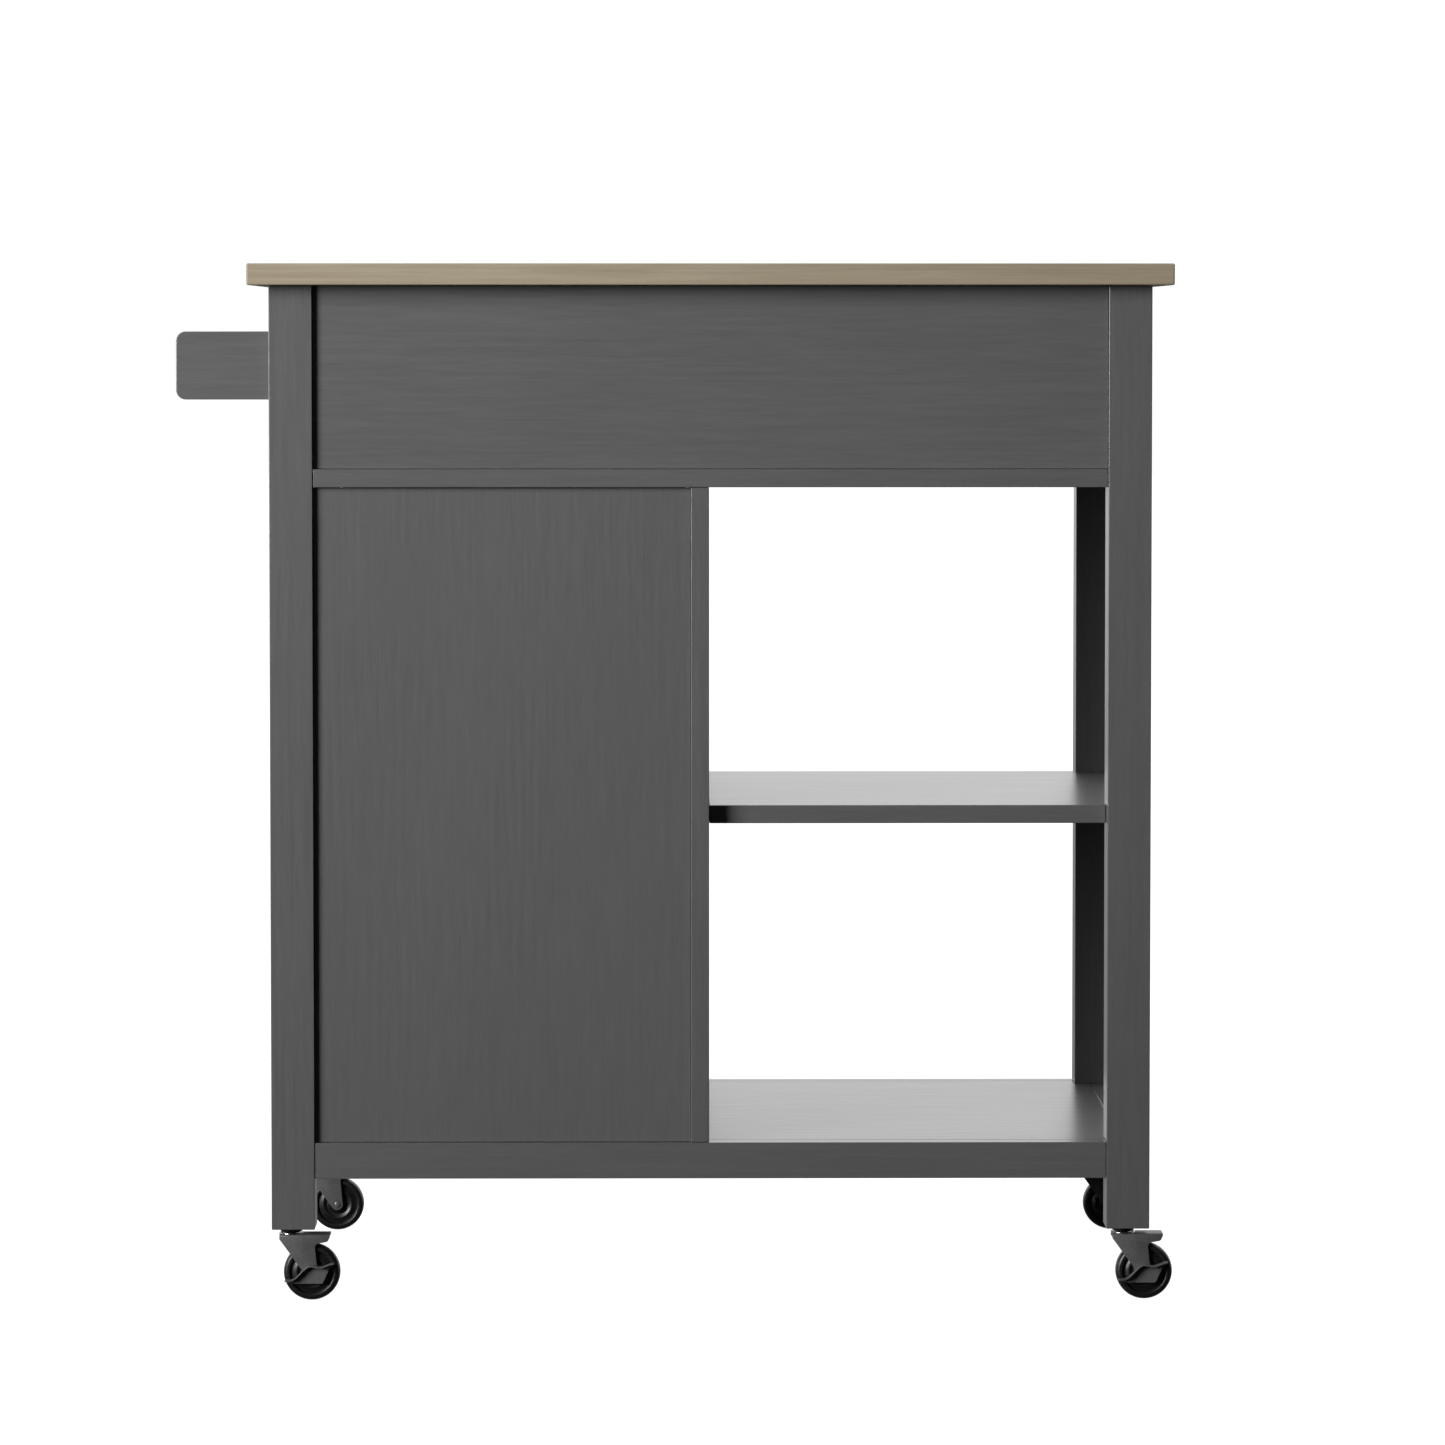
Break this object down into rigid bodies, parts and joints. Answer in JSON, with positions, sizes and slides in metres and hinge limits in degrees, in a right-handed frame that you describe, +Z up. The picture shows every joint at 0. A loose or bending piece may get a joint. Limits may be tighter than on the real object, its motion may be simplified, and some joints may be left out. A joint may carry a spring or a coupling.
{
  "type": "kitchen cart",
  "caption": "Wheeled kitchen cart with a butcher-block top, wide drawer, cabinet with a door, open shelves and a towel bar, on swivel casters.",
  "frame": {"origin": "on the floor, under the middle of the bounding box", "axes": "+Z up; the drawer and the door face -Y; +X towards the cabinet end with the towel bar"},
  "size_m": [0.8772, 0.4888, 0.9146],
  "materials": {
    "grey_paint": "satin brushed grey paint with a fine grain",
    "butcher_block": "greyish beige glued staves, matt oil",
    "drawer_wood": "bare pine, sanded",
    "backing_board": "bare fibreboard",
    "nickel": "brushed nickel",
    "zinc": "bright zinc plate",
    "caster_steel": "grey satin steel",
    "caster_black": "black",
    "wheel_plastic": "glossy black"
  },
  "bodies": {
    "cart": {"top_slab": "butcher_block", "leg_front_left": "grey_paint", "leg_back_left": "grey_paint", "leg_front_right": "grey_paint", "leg_back_right": "grey_paint", "upper_back_panel": "grey_paint", "cabinet_back_panel": "grey_paint", "cabinet_side_panel": "grey_paint", "drawer_end_apron": "grey_paint", "bottom_end_rail": "grey_paint", "back_bottom_rail": "grey_paint", "front_bottom_rail": "grey_paint", "front_top_rail": "grey_paint", "drawer_deck": "grey_paint", "divider": "grey_paint", "middle_shelf": "grey_paint", "bottom_shelf": "grey_paint", "cabinet_shelf": "grey_paint", "towel_bracket_front": "grey_paint", "towel_bracket_back": "grey_paint", "towel_rod": "grey_paint", "hinge_top_leaf_frame": "zinc", "hinge_bottom_leaf_frame": "zinc", "slide_left_fixed": "zinc", "slide_right_fixed": "zinc", "caster_front_left_stem": "caster_black", "caster_back_left_stem": "caster_black", "caster_front_right_stem": "caster_black", "caster_back_right_stem": "caster_black"},
    "door": {"door_stile_free": "grey_paint", "door_stile_hinge": "grey_paint", "door_rail_top": "grey_paint", "door_rail_bottom": "grey_paint", "door_panel": "grey_paint", "door_knob": "nickel", "hinge_top_leaf_door": "zinc", "hinge_bottom_leaf_door": "zinc"},
    "drawer": {"drawer_front": "grey_paint", "drawer_side_left": "drawer_wood", "drawer_side_right": "drawer_wood", "drawer_back": "drawer_wood", "drawer_bottom": "backing_board", "drawer_knob_left": "nickel", "drawer_knob_right": "nickel", "slide_left_moving": "zinc", "slide_right_moving": "zinc"},
    "fork_front_left": {"caster_front_left_fork": "caster_steel", "caster_front_left_axle": "zinc"},
    "wheel_front_left": {"caster_front_left_wheel": "wheel_plastic"},
    "fork_back_left": {"caster_back_left_fork": "caster_steel", "caster_back_left_axle": "zinc"},
    "wheel_back_left": {"caster_back_left_wheel": "wheel_plastic"},
    "pedal_back_left": {"caster_back_left_brake": "caster_steel"},
    "fork_front_right": {"caster_front_right_fork": "caster_steel", "caster_front_right_axle": "zinc"},
    "wheel_front_right": {"caster_front_right_wheel": "wheel_plastic"},
    "fork_back_right": {"caster_back_right_fork": "caster_steel", "caster_back_right_axle": "zinc"},
    "wheel_back_right": {"caster_back_right_wheel": "wheel_plastic"},
    "pedal_back_right": {"caster_back_right_brake": "caster_steel"}
  },
  "joints": [
    {"name": "drawer_slide", "type": "slide", "parent": "cart", "child": "drawer", "axis": [0, -1, 0], "range_m": [0, 0.28]},
    {"name": "door_swing", "type": "hinge", "parent": "cart", "child": "door", "pos_m": [0.31725, -0.2244, 0.43], "axis": [0, 0, 1], "range_deg": [0, 110]},
    {"name": "swivel_front_left", "type": "hinge", "parent": "cart", "child": "fork_front_left", "pos_m": [0.3407, -0.2021, 0.059], "axis": [0, 0, 1], "continuous": true},
    {"name": "roll_front_left", "type": "hinge", "parent": "fork_front_left", "child": "wheel_front_left", "pos_m": [0.3224, -0.2021, 0.025], "axis": [0, 1, 0], "continuous": true},
    {"name": "swivel_back_left", "type": "hinge", "parent": "cart", "child": "fork_back_left", "pos_m": [0.3407, 0.2079, 0.059], "axis": [0, 0, 1], "continuous": true},
    {"name": "roll_back_left", "type": "hinge", "parent": "fork_back_left", "child": "wheel_back_left", "pos_m": [0.3224, 0.2079, 0.025], "axis": [0, 1, 0], "continuous": true},
    {"name": "brake_back_left", "type": "hinge", "parent": "fork_back_left", "child": "pedal_back_left", "pos_m": [0.3224, 0.2079, 0.025], "axis": [0, 1, 0], "range_deg": [-12, 0]},
    {"name": "swivel_front_right", "type": "hinge", "parent": "cart", "child": "fork_front_right", "pos_m": [-0.3953, -0.2021, 0.059], "axis": [0, 0, 1], "continuous": true},
    {"name": "roll_front_right", "type": "hinge", "parent": "fork_front_right", "child": "wheel_front_right", "pos_m": [-0.4136, -0.2021, 0.025], "axis": [0, 1, 0], "continuous": true},
    {"name": "swivel_back_right", "type": "hinge", "parent": "cart", "child": "fork_back_right", "pos_m": [-0.3953, 0.2079, 0.059], "axis": [0, 0, 1], "continuous": true},
    {"name": "roll_back_right", "type": "hinge", "parent": "fork_back_right", "child": "wheel_back_right", "pos_m": [-0.4136, 0.2079, 0.025], "axis": [0, 1, 0], "continuous": true},
    {"name": "brake_back_right", "type": "hinge", "parent": "fork_back_right", "child": "pedal_back_right", "pos_m": [-0.4136, 0.2079, 0.025], "axis": [0, 1, 0], "range_deg": [-12, 0]}
  ]
}
